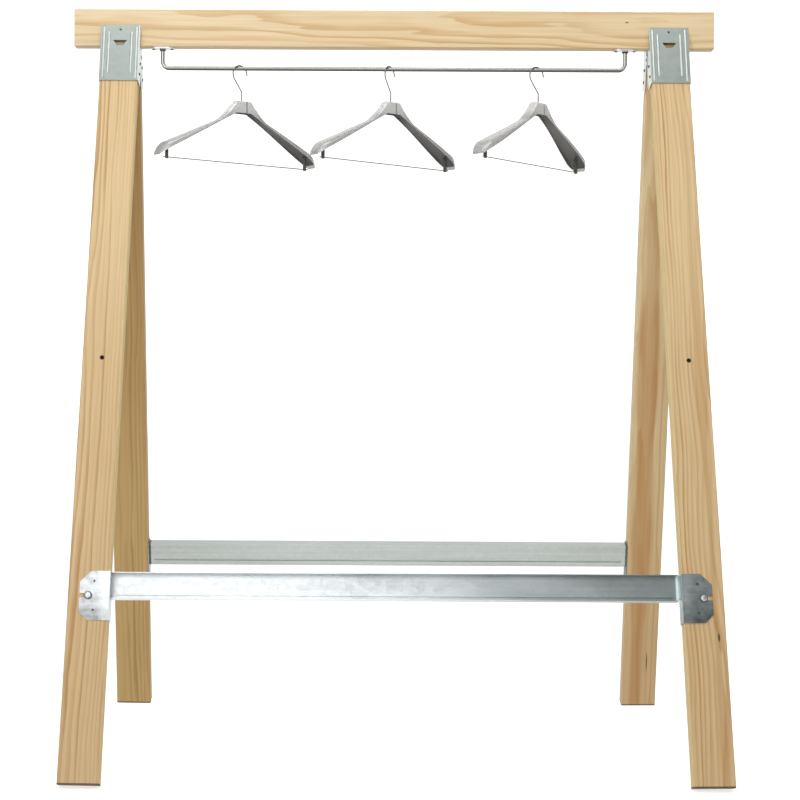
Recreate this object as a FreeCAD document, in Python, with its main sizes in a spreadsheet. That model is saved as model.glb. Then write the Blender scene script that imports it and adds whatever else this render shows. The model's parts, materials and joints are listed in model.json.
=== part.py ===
"""Folding clothes rack: five boards, four hinged sheet steel brackets, two sheet steel rails,
a bent hanging rod and three hangers.

Millimetres. +X runs along the top beam, -Y faces the viewer and +Z is up. The origin lies on the floor
under the middle of the beam.
"""
import FreeCAD, Part
import os
import Sketcher

doc = FreeCAD.newDocument("clothes_rack")
sizes = doc.addObject("Spreadsheet::Sheet", "Sizes")
layout = doc.addObject("Spreadsheet::Sheet", "Layout")

DRIVING = {
    # Boards
    "beam_length": 1524,
    "leg_length": 1686,
    "board_width": 89,
    "board_thick": 38,
    "board_ease": 3,
    # Stance
    "lean_angle": 16,
    "side_splay": 0.65,
    "beam_overhang": 110,
    "pin_drop": 24,
    "fold_gap": 0.75,
    "leg_top_gap": 1,
    # Brackets
    "sheet_thick": 1.5,
    "socket_slack": 0.8,
    "ear_gap": 0.3,
    "ear_radius": 11,
    "ledge_end": 8,
    "flange_short": 0.5,
    "bracket_reach": 78,
    "jaw_gap": 0.1,
    "rib_width": 4,
    "rib_height": 1.2,
    "rib_inset": 8,
    "rib_pitch": 12,
    "bite_width": 33,
    "bite_height": 13,
    "bite_place": 20,
    "nail_hole_radius": 2.5,
    "nail_hole_place": 54,
    # Fasteners
    "rivet_radius": 3.5,
    "rivet_head_radius": 6,
    "rivet_head_height": 2,
    "turn_slack": 0.05,
    "screw_radius": 2,
    "screw_head_radius": 3.8,
    "screw_crown_radius": 2.7,
    "screw_head_height": 2,
    "screw_length": 22,
    "upper_screw_in": 20,
    "upper_screw_drop": 26,
    "lower_screw_in": 27,
    "lower_screw_drop": 56,
    "bolt_radius": 4,
    "bolt_length": 32,
    "bolt_flats": 13,
    "bolt_head_height": 5.5,
    "washer_radius": 9,
    "washer_thick": 1.6,
    "fastener_slack": 0.5,
    # Rails
    "rail_drop": 1244,
    "rail_web": 58,
    "rail_flange": 26,
    "rail_slack": 0.3,
    "end_plate_width": 64,
    "end_plate_height": 107,
    "end_plate_top_cut": 24,
    "end_plate_foot_cut": 18,
    "end_nail_across": 33,
    "end_nail_offset": 31.5,
    "bead_width": 9,
    "bead_height": 2.5,
    "bead_place": 15,
    "bead_inset": 14,
    # Spare holes in the front legs
    "leg_hole_radius": 5,
    "leg_hole_drop": 748,
    # Hanging rod
    "rod_radius": 5,
    "rod_inset": 99,
    "rod_drop": 48.6,
    "rod_bend": 16,
    "rod_flange_length": 62,
    "rod_flange_width": 32,
    "rod_flange_thick": 3,
    "rod_boss_radius": 8,
    "rod_collar_radius": 6.5,
    "rod_boss_height": 5,
    "rod_screw_spread": 44,
    # Hangers
    "hanger_width": 444,
    "hanger_drop": 78,
    "hanger_bow": 20,
    "hanger_wall": 2.2,
    "neck_width": 40,
    "neck_depth": 20,
    "neck_flare": 7,
    "neck_height": 29,
    "neck_cavity": 7,
    "shoulder_rise": 27,
    "shoulder_slope": 0.455,
    "under_slope": 0.54,
    "under_drop": 18,
    "tip_width": 52,
    "tip_fall": 5,
    "hook_radius": 21,
    "hook_offset": 5.5,
    "hook_wire_radius": 1.6,
    "hook_stem": 22,
    "hook_tip_angle": 2,
    "hook_rest_gap": 0.3,
    "hook_head_radius": 3.6,
    "hook_head_height": 2,
    "post_inset": 24.5,
    "post_thick": 5,
    "post_width": 7.5,
    "post_eye_radius": 5,
    "post_eye_room": 2,
    "post_end_room": 1.8,
    "pivot_radius": 2,
    "bar_radius": 1.5,
    "bar_hang": 30,
    "bar_overhang": 7,
    "left_hanger_inset": 189,
    "left_hanger_turn": 37,
    "left_hook_turn": 42,
    "middle_hanger_shift": -7,
    "middle_hanger_turn": 41,
    "middle_hook_turn": 57,
    "right_hanger_inset": 207,
    "right_hanger_turn": 51,
    "right_hook_turn": 35,
}
for row, (alias, number) in enumerate(DRIVING.items(), start=1):
    sizes.set("A%d" % row, alias)
    sizes.set("B%d" % row, str(number))
    sizes.setAlias("B%d" % row, alias)
doc.recompute()

LEAN = "(Sizes.lean_angle * 1 deg)"
SPLAY = "(Sizes.side_splay * 1 deg)"

DERIVED = {
    "leg_spacing": "Sizes.beam_length - 2 * Sizes.beam_overhang",
    "rod_span": "Layout.leg_spacing - 2 * Sizes.rod_inset",
    # The two frames stand this far to either side in X, so that their bracket ears pass each other
    "frame_shift": "(Sizes.sheet_thick + Sizes.ear_gap) / 2",
    # A leg ends just under the bracket ears, so that the ears of the other frame turn clear of it
    "leg_top": "Sizes.ear_radius + Sizes.leg_top_gap",
    "leg_outer": "Sizes.fold_gap + Sizes.board_thick",
    "socket_half": "Sizes.board_width / 2 + Sizes.socket_slack",
    "bracket_half": "Layout.socket_half + Sizes.sheet_thick",
    # The lowest corner of a leaning, square-cut leg stands on the floor
    "pin_height": f"(Layout.leg_top + Sizes.leg_length * cos{SPLAY}"
                  f" + (Sizes.board_width / 2 - Sizes.board_ease) * sin{SPLAY}) * cos{LEAN}"
                  f" - Sizes.fold_gap * sin{LEAN}",
    # The top edge of a bracket plate meets the side of the beam
    "plate_top": f"(Layout.leg_outer * cos{LEAN} - Sizes.board_thick / 2 - Sizes.jaw_gap) / sin{LEAN}",
    "ledge_outer": f"(Sizes.pin_drop - Sizes.jaw_gap - Layout.leg_outer * sin{LEAN}) / cos{LEAN}",
    "ledge_inner": f"(Sizes.pin_drop - Sizes.jaw_gap - Sizes.ledge_end * sin{LEAN}) / cos{LEAN}",
    "bite_top": "Sizes.bite_place + Sizes.bite_height / 2",
    # Measures along a leg, from its top
    "rail_top_down": "Sizes.rail_drop - Layout.leg_top",
    "bolt_down": "Layout.rail_top_down + Sizes.end_plate_height / 2",
    "end_inner": "-Sizes.board_width / 2 - Sizes.rail_slack",
    # Heights above the floor
    "beam_bottom": "Layout.pin_height + Sizes.pin_drop",
    "rod_height": "Layout.beam_bottom - Sizes.rod_drop",
    # The posts hang inside the tips of a hanger, clear of the top of the hollow
    "post_spread": "Sizes.hanger_width - 2 * Sizes.post_inset",
    "pivot_drop": "Sizes.shoulder_rise + Sizes.shoulder_slope * (Layout.post_spread - Sizes.neck_width) / 2"
                  " + Sizes.hanger_wall + Sizes.post_eye_radius + Sizes.post_eye_room",
    "bar_drop": "Layout.pivot_drop + Sizes.bar_hang",
    # How far the bowed arms stand back where the posts hang
    "post_bow": "Sizes.hanger_bow * pow((Layout.post_spread - Sizes.neck_width)"
                " / (Sizes.hanger_width - Sizes.neck_width); 1.5)",
    # Places along the rod: the outer hangers from its ends, the middle one from its middle
    "left_hanger_place": "Sizes.left_hanger_inset - Layout.rod_span / 2",
    "middle_hanger_place": "Sizes.middle_hanger_shift",
    "right_hanger_place": "Layout.rod_span / 2 - Sizes.right_hanger_inset",
}
for row, (alias, formula) in enumerate(DERIVED.items(), start=1):
    layout.set("A%d" % row, alias)
    layout.set("B%d" % row, "=" + formula)
    layout.setAlias("B%d" % row, alias)
    doc.recompute()

sub_parts = []


def value(formula):
    """The number that a formula over the sheets gives now."""
    return float(layout.evalExpression(str(formula)))


def bind(item, **formulas):
    for name, formula in formulas.items():
        item.setExpression(name, str(formula))
    return item


def turned(axis, angle):
    return f"rotation(vector({axis}); {angle})"


ABOUT_X = "1; 0; 0"
ABOUT_Y = "0; 1; 0"
ABOUT_Z = "0; 0; 1"


def at(x, y, z, turn=None):
    """A placement as a formula."""
    turn = turn or turned(ABOUT_Z, 0)
    return f"placement(vector({x}; {y}; {z}); {turn})"


FRAMES = {
    "front": at("Layout.frame_shift", 0, "Layout.pin_height", turned(ABOUT_X, "-Sizes.lean_angle")),
    "rear": at("-Layout.frame_shift", 0, "Layout.pin_height",
               turned(ABOUT_Z, 180) + " * " + turned(ABOUT_X, "-Sizes.lean_angle")),
}


def keep(item, label, place):
    """Takes an object into the list of sub-parts under its own label."""
    item.Label = label
    item.setExpression("Placement", place)
    sub_parts.append(item)
    return item


# Outlines and features

def sketch_on(body, role, offset):
    plane = [item for item in body.Origin.OriginFeatures if item.Role == role][0]
    sketch = body.newObject("Sketcher::SketchObject", "Outline")
    sketch.AttachmentSupport = [(plane, "")]
    sketch.MapMode = "FlatFace"
    bind(sketch, **{"AttachmentOffset.Base.z": offset})
    return sketch


def pin_point(sketch, line, end, corner):
    """Ties a point of an outline to its two formulas."""
    for kind, axis, formula in (("DistanceX", -2, corner[0]), ("DistanceY", -1, corner[1])):
        number = value(formula)
        if abs(number) < 1e-7:
            sketch.addConstraint(Sketcher.Constraint("PointOnObject", line, end, axis))
            continue
        index = sketch.addConstraint(Sketcher.Constraint(kind, -1, 1, line, end, number))
        bind(sketch, **{"Constraints[%d]" % index: formula})


def add_polygon(sketch, corners):
    points = [FreeCAD.Vector(value(x), value(y), 0) for x, y in corners]
    first = sketch.GeometryCount
    count = len(points)
    for index, point in enumerate(points):
        sketch.addGeometry(Part.LineSegment(point, points[(index + 1) % count]))
    for index, corner in enumerate(corners):
        following = first + (index + 1) % count
        sketch.addConstraint(Sketcher.Constraint("Coincident", first + index, 2, following, 1))
        pin_point(sketch, first + index, 1, corner)


def add_circle(sketch, centre, radius):
    middle = FreeCAD.Vector(value(centre[0]), value(centre[1]), 0)
    circle = sketch.addGeometry(Part.Circle(middle, FreeCAD.Vector(0, 0, 1), value(radius)))
    pin_point(sketch, circle, 3, centre)
    index = sketch.addConstraint(Sketcher.Constraint("Radius", circle, value(radius)))
    bind(sketch, **{"Constraints[%d]" % index: radius})


def rectangle(x_low, x_high, y_low, y_high):
    return [(x_low, y_low), (x_high, y_low), (x_high, y_high), (x_low, y_high)]


def outline(body, role, polygons=(), circles=(), offset=0):
    sketch = sketch_on(body, role, offset)
    for corners in polygons:
        add_polygon(sketch, corners)
    for centre, radius in circles:
        add_circle(sketch, centre, radius)
    return sketch


def pad(body, sketch, length, both_ways=False, reverse=False):
    feature = body.newObject("PartDesign::Pad", "Pad")
    feature.Profile = sketch
    feature.SideType = "Symmetric" if both_ways else "One side"
    feature.Reversed = reverse
    bind(feature, Length=length)
    doc.recompute()
    return feature


def cut_through(body, sketch):
    """Cuts an outline through everything, both ways."""
    before = body.Shape.Volume
    feature = body.newObject("PartDesign::Pocket", "Pocket")
    feature.Profile = sketch
    feature.SideType = "Symmetric"
    feature.Type = "ThroughAll"
    doc.recompute()
    if body.Shape.Volume >= before:
        raise RuntimeError("a cut took nothing away from " + body.Name)


def cut_down(body, sketch, depth, reverse):
    before = body.Shape.Volume
    feature = body.newObject("PartDesign::Pocket", "Pocket")
    feature.Profile = sketch
    feature.Reversed = reverse
    bind(feature, Length=depth)
    doc.recompute()
    if body.Shape.Volume >= before:
        raise RuntimeError("a cut took nothing away from " + body.Name)


# Two lengths count as the same when they differ by less than this share
SAME_LENGTH = 1e-7


def ease_long_edges(body, feature, length, radius):
    """Rounds the edges that run the whole length of a board."""
    span = value(length)
    edges = enumerate(feature.Shape.Edges, start=1)
    names = ["Edge%d" % number for number, edge in edges if abs(edge.Length / span - 1) < SAME_LENGTH]
    fillet = body.newObject("PartDesign::Fillet", "Ease")
    fillet.Base = (feature, names)
    bind(fillet, Radius=radius)
    doc.recompute()


def cylinder(radius, height, place):
    item = doc.addObject("Part::Cylinder", "Cylinder")
    return bind(item, Radius=radius, Height=height, Placement=place)


def cone(low_radius, high_radius, height, place):
    item = doc.addObject("Part::Cone", "Cone")
    return bind(item, Radius1=low_radius, Radius2=high_radius, Height=height, Placement=place)


def box(length, width, height, place):
    item = doc.addObject("Part::Box", "Box")
    return bind(item, Length=length, Width=width, Height=height, Placement=place)


def sphere(radius, place):
    item = doc.addObject("Part::Sphere", "Sphere")
    return bind(item, Radius=radius, Placement=place)


def fuse(*items):
    item = doc.addObject("Part::MultiFuse", "Fuse")
    item.Shapes = list(items)
    return item


def cut(base, *tools):
    item = doc.addObject("Part::Cut", "Cut")
    item.Base = base
    item.Tool = tools[0] if len(tools) == 1 else fuse(*tools)
    return item


def group(*items):
    item = doc.addObject("Part::Compound", "Group")
    item.Links = list(items)
    return item


# Boards

def make_beam():
    body = doc.addObject("PartDesign::Body", "Beam")
    half = "Sizes.board_thick / 2"
    section = rectangle("-" + half, half, 0, "Sizes.board_width")
    board = pad(body, outline(body, "YZ_Plane", [section]), "Sizes.beam_length", both_ways=True)
    ease_long_edges(body, board, "Sizes.beam_length", "Sizes.board_ease")
    keep(body, "top_beam", at(0, 0, "Layout.beam_bottom"))


def make_leg(frame, side, label):
    body = doc.addObject("PartDesign::Body", "Leg")
    half = "Sizes.board_width / 2"
    section = rectangle("-" + half, half, "-Layout.leg_outer", "-Sizes.fold_gap")
    board = pad(body, outline(body, "XY_Plane", [section]), "Sizes.leg_length", reverse=True)
    ease_long_edges(body, board, "Sizes.leg_length", "Sizes.board_ease")
    if frame == "front":
        hole = ((0, "-Sizes.leg_hole_drop"), "Sizes.leg_hole_radius")
        cut_through(body, outline(body, "XZ_Plane", circles=[hole]))
    stand = at(f"{side} * Layout.leg_spacing / 2", 0, "-Layout.leg_top",
               turned(ABOUT_Y, f"{-side} * Sizes.side_splay"))
    keep(body, label, FRAMES[frame] + " * " + stand)


# Hinged brackets. The hinge pin is the origin, the leg hangs straight down from it

SCREW_PLACES = (
    ("-Sizes.upper_screw_in", "-Sizes.upper_screw_drop"),
    ("-Sizes.lower_screw_in", "-Sizes.lower_screw_drop"),
)


def bracket_side():
    """Plate and flange seen from the end of the rack."""
    return [
        ("-Layout.leg_outer - Sizes.sheet_thick", "Layout.plate_top"),
        ("-Layout.leg_outer", "Layout.plate_top"),
        ("-Layout.leg_outer", "Layout.ledge_outer"),
        ("-Sizes.ledge_end", "Layout.ledge_inner"),
        ("-Sizes.ledge_end", 0),
        ("-Sizes.flange_short", 0),
        ("-Sizes.flange_short", "-Sizes.bracket_reach"),
        ("-Layout.leg_outer - Sizes.sheet_thick", "-Sizes.bracket_reach"),
    ]


def bracket_ribs():
    """Two pairs of upright ribs, the outer pair longer, and the rolled lower edge."""
    shapes = []
    for order in (0, 1):
        across = f"Layout.bracket_half - Sizes.rib_inset - {order} * Sizes.rib_pitch"
        high = f"Layout.plate_top - Sizes.rib_inset - {order} * Sizes.rib_pitch"
        low = f"Sizes.rib_inset + {order} * Sizes.rib_pitch - Sizes.bracket_reach"
        for side in (-1, 1):
            left = f"{side} * ({across}) - Sizes.rib_width / 2"
            right = f"{side} * ({across}) + Sizes.rib_width / 2"
            shapes.append(rectangle(left, right, low, high))
    shapes.append(rectangle("-Layout.bracket_half", "Layout.bracket_half",
                            "-Sizes.bracket_reach", "-Sizes.bracket_reach + Sizes.sheet_thick * 2"))
    return shapes


def make_bracket(frame, side, label):
    body = doc.addObject("PartDesign::Body", "Bracket")
    full_width = "2 * Layout.bracket_half"
    pad(body, outline(body, "YZ_Plane", [bracket_side()]), full_width, both_ways=True)
    pad(body, outline(body, "YZ_Plane", circles=[((0, 0), "Sizes.ear_radius")]), full_width, both_ways=True)
    inside = rectangle("-Layout.socket_half", "Layout.socket_half",
                       "-Layout.leg_outer", "2 * Sizes.ear_radius")
    cut_through(body, outline(body, "XY_Plane", [inside]))
    holes = [((0, 0), "Sizes.rivet_radius + Sizes.turn_slack")]
    holes += [(place, "Sizes.screw_radius + Sizes.turn_slack") for place in SCREW_PLACES]
    cut_through(body, outline(body, "YZ_Plane", circles=holes))
    bite = [
        ("-Sizes.bite_width / 2", "Layout.bite_top"),
        ("-Sizes.bite_width / 4", "Layout.bite_top - Sizes.bite_height"),
        ("Sizes.bite_width / 4", "Layout.bite_top - Sizes.bite_height"),
        ("Sizes.bite_width / 2", "Layout.bite_top"),
    ]
    nail = ((0, "Sizes.nail_hole_place"), "Sizes.nail_hole_radius")
    cut_through(body, outline(body, "XZ_Plane", [bite], [nail]))
    # The tongue bent out of the opening reaches in to the side of the beam
    tongue_high = "(Layout.bite_top + Sizes.sheet_thick)"
    tongue_reach = (f"Layout.leg_outer - (Sizes.board_thick / 2 + Sizes.jaw_gap"
                    f" + {tongue_high} * sin{LEAN}) / cos{LEAN}")
    tongue = rectangle("-Sizes.bite_width / 2", "Sizes.bite_width / 2", "Layout.bite_top", tongue_high)
    pad(body, outline(body, "XZ_Plane", [tongue], offset="Layout.leg_outer"), tongue_reach, reverse=True)
    face = "Layout.leg_outer + Sizes.sheet_thick"
    pad(body, outline(body, "XZ_Plane", bracket_ribs(), offset=face), "Sizes.rib_height")
    keep(body, label, FRAMES[frame] + " * " + at(f"{side} * Layout.leg_spacing / 2", 0, 0))


def make_rivets(side, label):
    """The two hinge rivets of one bracket pair, each through a front ear and a rear ear."""
    stack = "(2 * Sizes.sheet_thick + Sizes.ear_gap + Sizes.jaw_gap)"
    turn = turned(ABOUT_Y, 90)
    rivets = []
    # The front ear is the outer one at the right of the bracket and the inner one at the left
    for face in ("Layout.bracket_half", "-Layout.socket_half"):
        high = f"{side} * Layout.leg_spacing / 2 + {face}"
        low = f"{high} - {stack}"
        shank = cylinder("Sizes.rivet_radius", stack, at(low, 0, 0, turn))
        head = cone("Sizes.rivet_head_radius", "Sizes.rivet_radius", "Sizes.rivet_head_height",
                    at(high, 0, 0, turn))
        tail = cone("Sizes.rivet_radius", "Sizes.rivet_head_radius", "Sizes.rivet_head_height",
                    at(f"{low} - Sizes.rivet_head_height", 0, 0, turn))
        rivets.append(fuse(shank, head, tail))
    keep(group(*rivets), label, FRAMES["front"])


def make_leg_screws(frame, label):
    """Screws through the bracket flanges into the edges of both legs."""
    screws = []
    for side in (-1, 1):
        for end in (-1, 1):
            for across, up in SCREW_PLACES:
                face = f"{side} * Layout.leg_spacing / 2 + {end} * Layout.bracket_half"
                root = f"{face} - {end} * Sizes.screw_length"
                turn = turned(ABOUT_Y, 90 * end)
                shank = cylinder("Sizes.screw_radius", "Sizes.screw_length", at(root, across, up, turn))
                head = cone("Sizes.screw_head_radius", "Sizes.screw_crown_radius",
                            "Sizes.screw_head_height", at(face, across, up, turn))
                screws.append(fuse(shank, head))
    keep(group(*screws), label, FRAMES[frame])


# Rails, each one bent sheet with a channel between two end plates

def leg_point(side, across, down):
    """X and Z of a point on a splayed leg, measured from the middle of its top."""
    x = f"{side} * (Layout.leg_spacing / 2 + ({across}) * cos{SPLAY} + ({down}) * sin{SPLAY})"
    z = f"({across}) * sin{SPLAY} - ({down}) * cos{SPLAY} - Layout.leg_top"
    return (x, z)


def rail_channel():
    """Web and two flanges that point outwards."""
    back = "-Sizes.fold_gap"
    skin = "-Sizes.fold_gap - Sizes.sheet_thick"
    lip = "-Sizes.fold_gap - Sizes.rail_flange"
    top = "-Sizes.rail_drop"
    top_inside = top + " - Sizes.sheet_thick"
    foot = "-Sizes.rail_drop - Sizes.rail_web"
    foot_inside = foot + " + Sizes.sheet_thick"
    return [
        (back, top), (lip, top), (lip, top_inside), (skin, top_inside),
        (skin, foot_inside), (lip, foot_inside), (lip, foot), (back, foot),
    ]


def make_rail(frame, label):
    body = doc.addObject("PartDesign::Body", "Rail")
    web_middle = "Layout.rail_top_down + Sizes.rail_web / 2"
    web_half = leg_point(1, "Layout.end_inner - Sizes.sheet_thick / 2", web_middle)[0]
    pad(body, outline(body, "YZ_Plane", [rail_channel()]), f"2 * {web_half}", both_ways=True)
    # A stiffening bead is pressed outwards along the lower part of the web
    bead_end = f"{web_half} - Sizes.bead_inset"
    bead_middle = "(Sizes.bead_place - Sizes.rail_drop - Sizes.rail_web)"
    bead = rectangle(f"-({bead_end})", bead_end, f"{bead_middle} - Sizes.bead_width / 2",
                     f"{bead_middle} + Sizes.bead_width / 2")
    skin = "Sizes.fold_gap + Sizes.sheet_thick"
    pad(body, outline(body, "XZ_Plane", [bead], offset=skin), "Sizes.bead_height")
    wall = "Sizes.sheet_thick"
    groove = rectangle(f"{wall} - ({bead_end})", f"{bead_end} - {wall}",
                       f"{bead_middle} - Sizes.bead_width / 2 + {wall}",
                       f"{bead_middle} + Sizes.bead_width / 2 - {wall}")
    cut_down(body, outline(body, "XZ_Plane", [groove], offset="Sizes.fold_gap"), "Sizes.bead_height",
             reverse=True)
    for side in (-1, 1):
        add_rail_end(body, side)
    keep(body, label, FRAMES[frame])


def add_rail_end(body, side):
    """Flange along the leg's inner side and a plate with a bolt slot over its outer face."""
    top = "Layout.rail_top_down"
    foot = "Layout.rail_top_down + Sizes.end_plate_height"
    near = "Layout.end_inner - Sizes.sheet_thick"
    far = "Layout.end_inner + Sizes.end_plate_width"
    past = f"{far} + Sizes.sheet_thick"
    slot_half = "Sizes.bolt_radius + Sizes.fastener_slack"
    slot_top = f"Layout.bolt_down - ({slot_half})"
    slot_foot = f"Layout.bolt_down + {slot_half}"
    flange = [(near, top), ("Layout.end_inner", top), ("Layout.end_inner", foot), (near, foot)]
    plate = [
        (near, top),
        (f"{far} - Sizes.end_plate_top_cut", top),
        (far, f"{top} + Sizes.end_plate_top_cut"),
        (far, f"{foot} - Sizes.end_plate_foot_cut"),
        (f"{far} - Sizes.end_plate_foot_cut", foot),
        (near, foot),
    ]
    slot = [(0, slot_top), (past, slot_top), (past, slot_foot), (0, slot_foot)]

    def on_leg(corners):
        return [leg_point(side, across, down) for across, down in corners]

    pad(body, outline(body, "XZ_Plane", [on_leg(flange)], offset="Sizes.fold_gap"),
        "Sizes.board_thick + Sizes.sheet_thick")
    pad(body, outline(body, "XZ_Plane", [on_leg(plate)], offset="Layout.leg_outer"), "Sizes.sheet_thick")
    cut_through(body, outline(body, "XZ_Plane", [on_leg(slot)]))
    holes = [(leg_point(side, 0, "Layout.bolt_down"), slot_half)]
    for step in (-1, 1):
        down = f"Layout.bolt_down + {step} * Sizes.end_nail_offset"
        nail = leg_point(side, "Layout.end_inner + Sizes.end_nail_across", down)
        holes.append((nail, "Sizes.nail_hole_radius"))
    cut_through(body, outline(body, "XZ_Plane", circles=holes))


def make_rail_bolts(frame, label):
    bolts = []
    face = "-Layout.leg_outer - Sizes.sheet_thick - Sizes.washer_thick"
    for side in (-1, 1):
        x, z = leg_point(side, 0, "Layout.bolt_down")
        turn = turned(ABOUT_X, 90)
        head = doc.addObject("Part::Prism", "Head")
        head.Polygon = 6
        bind(head, Circumradius="Sizes.bolt_flats / 2 / cos(30 deg)", Height="Sizes.bolt_head_height",
             Placement=at(x, face, z, turn))
        shank = cylinder("Sizes.bolt_radius", "Sizes.bolt_length",
                         at(x, f"{face} + Sizes.bolt_length", z, turn))
        bolts.append(fuse(head, shank))
    keep(group(*bolts), label, FRAMES[frame])


def make_rail_washers(frame, label):
    washers = []
    for side in (-1, 1):
        x, z = leg_point(side, 0, "Layout.bolt_down")
        place = at(x, "-Layout.leg_outer - Sizes.sheet_thick", z, turned(ABOUT_X, 90))
        disc = cylinder("Sizes.washer_radius", "Sizes.washer_thick", place)
        hole = cylinder("Sizes.bolt_radius + Sizes.fastener_slack", "Sizes.washer_thick", place)
        washers.append(cut(disc, hole))
    keep(group(*washers), label, FRAMES[frame])


# Hanging rod and its flanges under the beam

def rod_bend(x, start):
    item = doc.addObject("Part::Torus", "Bend")
    turn = turned(ABOUT_X, 90) + " * " + turned(ABOUT_Z, start)
    return bind(item, Radius1="Sizes.rod_bend", Radius2="Sizes.rod_radius", Angle3=90,
                Placement=at(x, 0, "Layout.rod_height + Sizes.rod_bend", turn))


def make_rod():
    half = "(Layout.rod_span / 2 - Sizes.rod_bend)"
    pieces = [cylinder("Sizes.rod_radius", f"2 * {half}",
                       at(f"-{half}", 0, "Layout.rod_height", turned(ABOUT_Y, 90)))]
    for side, start in ((-1, 180), (1, 270)):
        pieces.append(rod_bend(f"{side} * {half}", start))
        pieces.append(cylinder("Sizes.rod_radius", "Sizes.rod_drop - Sizes.rod_bend - Sizes.jaw_gap",
                               at(f"{side} * Layout.rod_span / 2", 0, "Layout.rod_height + Sizes.rod_bend")))
    keep(fuse(*pieces), "hanging_rod", at(0, 0, 0))


def make_rod_flange(side, label):
    thick = "Sizes.rod_flange_thick"
    across = "Sizes.rod_flange_width"
    straight = "(Sizes.rod_flange_length - Sizes.rod_flange_width)"
    pieces = [box(straight, across, thick, at(f"-{straight} / 2", f"-{across} / 2", f"-{thick}"))]
    for end in (-1, 1):
        pieces.append(cylinder(f"{across} / 2", thick, at(f"{end} * {straight} / 2", 0, f"-{thick}")))
    pieces.append(cone("Sizes.rod_collar_radius", "Sizes.rod_boss_radius", "Sizes.rod_boss_height",
                       at(0, 0, f"-{thick} - Sizes.rod_boss_height")))
    depth = f"{thick} + Sizes.rod_boss_height"
    tools = [cylinder("Sizes.rod_radius + Sizes.turn_slack", depth, at(0, 0, f"-({depth})"))]
    for end in (-1, 1):
        tools.append(cylinder("Sizes.screw_radius + Sizes.turn_slack", thick,
                              at(f"{end} * Sizes.rod_screw_spread / 2", 0, f"-{thick}")))
    keep(cut(fuse(*pieces), *tools), label, at(f"{side} * Layout.rod_span / 2", 0, "Layout.beam_bottom"))


def make_rod_flange_screws():
    screws = []
    for side in (-1, 1):
        for end in (-1, 1):
            x = f"{side} * Layout.rod_span / 2 + {end} * Sizes.rod_screw_spread / 2"
            under = "Layout.beam_bottom - Sizes.rod_flange_thick"
            shank = cylinder("Sizes.screw_radius", "Sizes.screw_length", at(x, 0, under))
            head = cone("Sizes.screw_crown_radius", "Sizes.screw_head_radius", "Sizes.screw_head_height",
                        at(x, 0, f"{under} - Sizes.screw_head_height"))
            screws.append(fuse(shank, head))
    keep(group(*screws), "rod_flange_screws", at(0, 0, 0))


# Hangers. The middle of the neck's top is the origin, and the arms run along X

ARM_STATIONS = (-0.02, 0.03, 0.08, 0.15, 0.25, 0.42, 0.62, 0.8, 0.9, 0.965, 1.0)
# The arm drops quickly over the first part, and its tip is rounded off from the last part on
RISE_PART = 0.223
RISE_CURVE = 1.3
TIP_PART = 0.88
TIP_DROP = 0.65
TIP_NARROWING = 0.45
BOW_CURVE = 1.5
CROWN_SHARE = 0.45


class Arm:
    """The outline of a hanger's arm, from the side of the neck (0) to the tip (1)."""

    def __init__(self):
        self.half = value("Sizes.hanger_width / 2")
        self.neck = value("Sizes.neck_width / 2")
        self.wall = value("Sizes.hanger_wall")
        self.cavity = value("Sizes.neck_cavity")
        post_end = value("(Layout.post_spread + Sizes.post_thick) / 2 + Sizes.post_end_room")
        self.hollow_end = (post_end - self.neck) / (self.half - self.neck)

    def out(self, part):
        return self.neck + (self.half - self.neck) * part

    def tip_round(self, part):
        return max(0.0, (part - TIP_PART) / (1 - TIP_PART)) ** 2

    def under(self, part):
        slope = value("Sizes.under_slope") * self.out(part) + value("Sizes.under_drop")
        return -max(value("Sizes.neck_height"), slope) - value("Sizes.tip_fall") * self.tip_round(part)

    def top(self, part):
        rise = value("Sizes.shoulder_rise")
        left = min(1.0, max(0.0, 1 - part / RISE_PART))
        line = rise * (left ** RISE_CURVE - 1) - value("Sizes.shoulder_slope") * (self.out(part) - self.neck)
        straight = min(line, 0.0)
        return straight - TIP_DROP * self.tip_round(part) * (straight - self.under(part))

    def ceiling(self, part):
        """The top of the hollow: shallow by the neck, then one wall below the top of the arm."""
        if part < RISE_PART:
            return self.under(part) + self.cavity
        return self.top(part) - self.wall

    def width(self, part):
        share = min(1.0, max(0.0, part / TIP_PART))
        eased = share * share * (3 - 2 * share)
        neck = value("Sizes.neck_depth + Sizes.neck_flare")
        return (neck + (value("Sizes.tip_width") - neck) * eased) * (1 - TIP_NARROWING * self.tip_round(part))

    def bow(self, part):
        return value("Sizes.hanger_bow") * max(0.0, part) ** BOW_CURVE


def arch(x, middle, width, top, foot):
    """A closed section: flat foot, straight sides and a round top."""
    half = width / 2
    shoulder = top - CROWN_SHARE * (top - foot)
    corners = [FreeCAD.Vector(x, middle - half, shoulder), FreeCAD.Vector(x, middle - half, foot),
               FreeCAD.Vector(x, middle + half, foot), FreeCAD.Vector(x, middle + half, shoulder)]
    crown = Part.Arc(corners[3], FreeCAD.Vector(x, middle, top), corners[0]).toShape()
    sides = [Part.makeLine(corners[index], corners[index + 1]) for index in range(3)]
    return Part.Wire(sides + [crown])


def arm_solid(arm):
    sections = []
    for part in ARM_STATIONS:
        sections.append(arch(arm.out(part), arm.bow(part), arm.width(part), arm.top(part), arm.under(part)))
    return Part.makeLoft(sections, True)


def arm_hollow(arm):
    """The space under an arm, open at the bottom, which ends just past the post."""
    depth = 2 * arm.cavity
    inner = arm.width(0) - 2 * arm.wall
    sections = [arch(-arm.wall, 0, inner, arm.ceiling(0), arm.under(0) - depth)]
    for part in ARM_STATIONS[1:-3] + (arm.hollow_end,):
        sections.append(arch(arm.out(part), arm.bow(part), arm.width(part) - 2 * arm.wall,
                             arm.ceiling(part), arm.under(part) - depth))
    return Part.makeLoft(sections, True)


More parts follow.
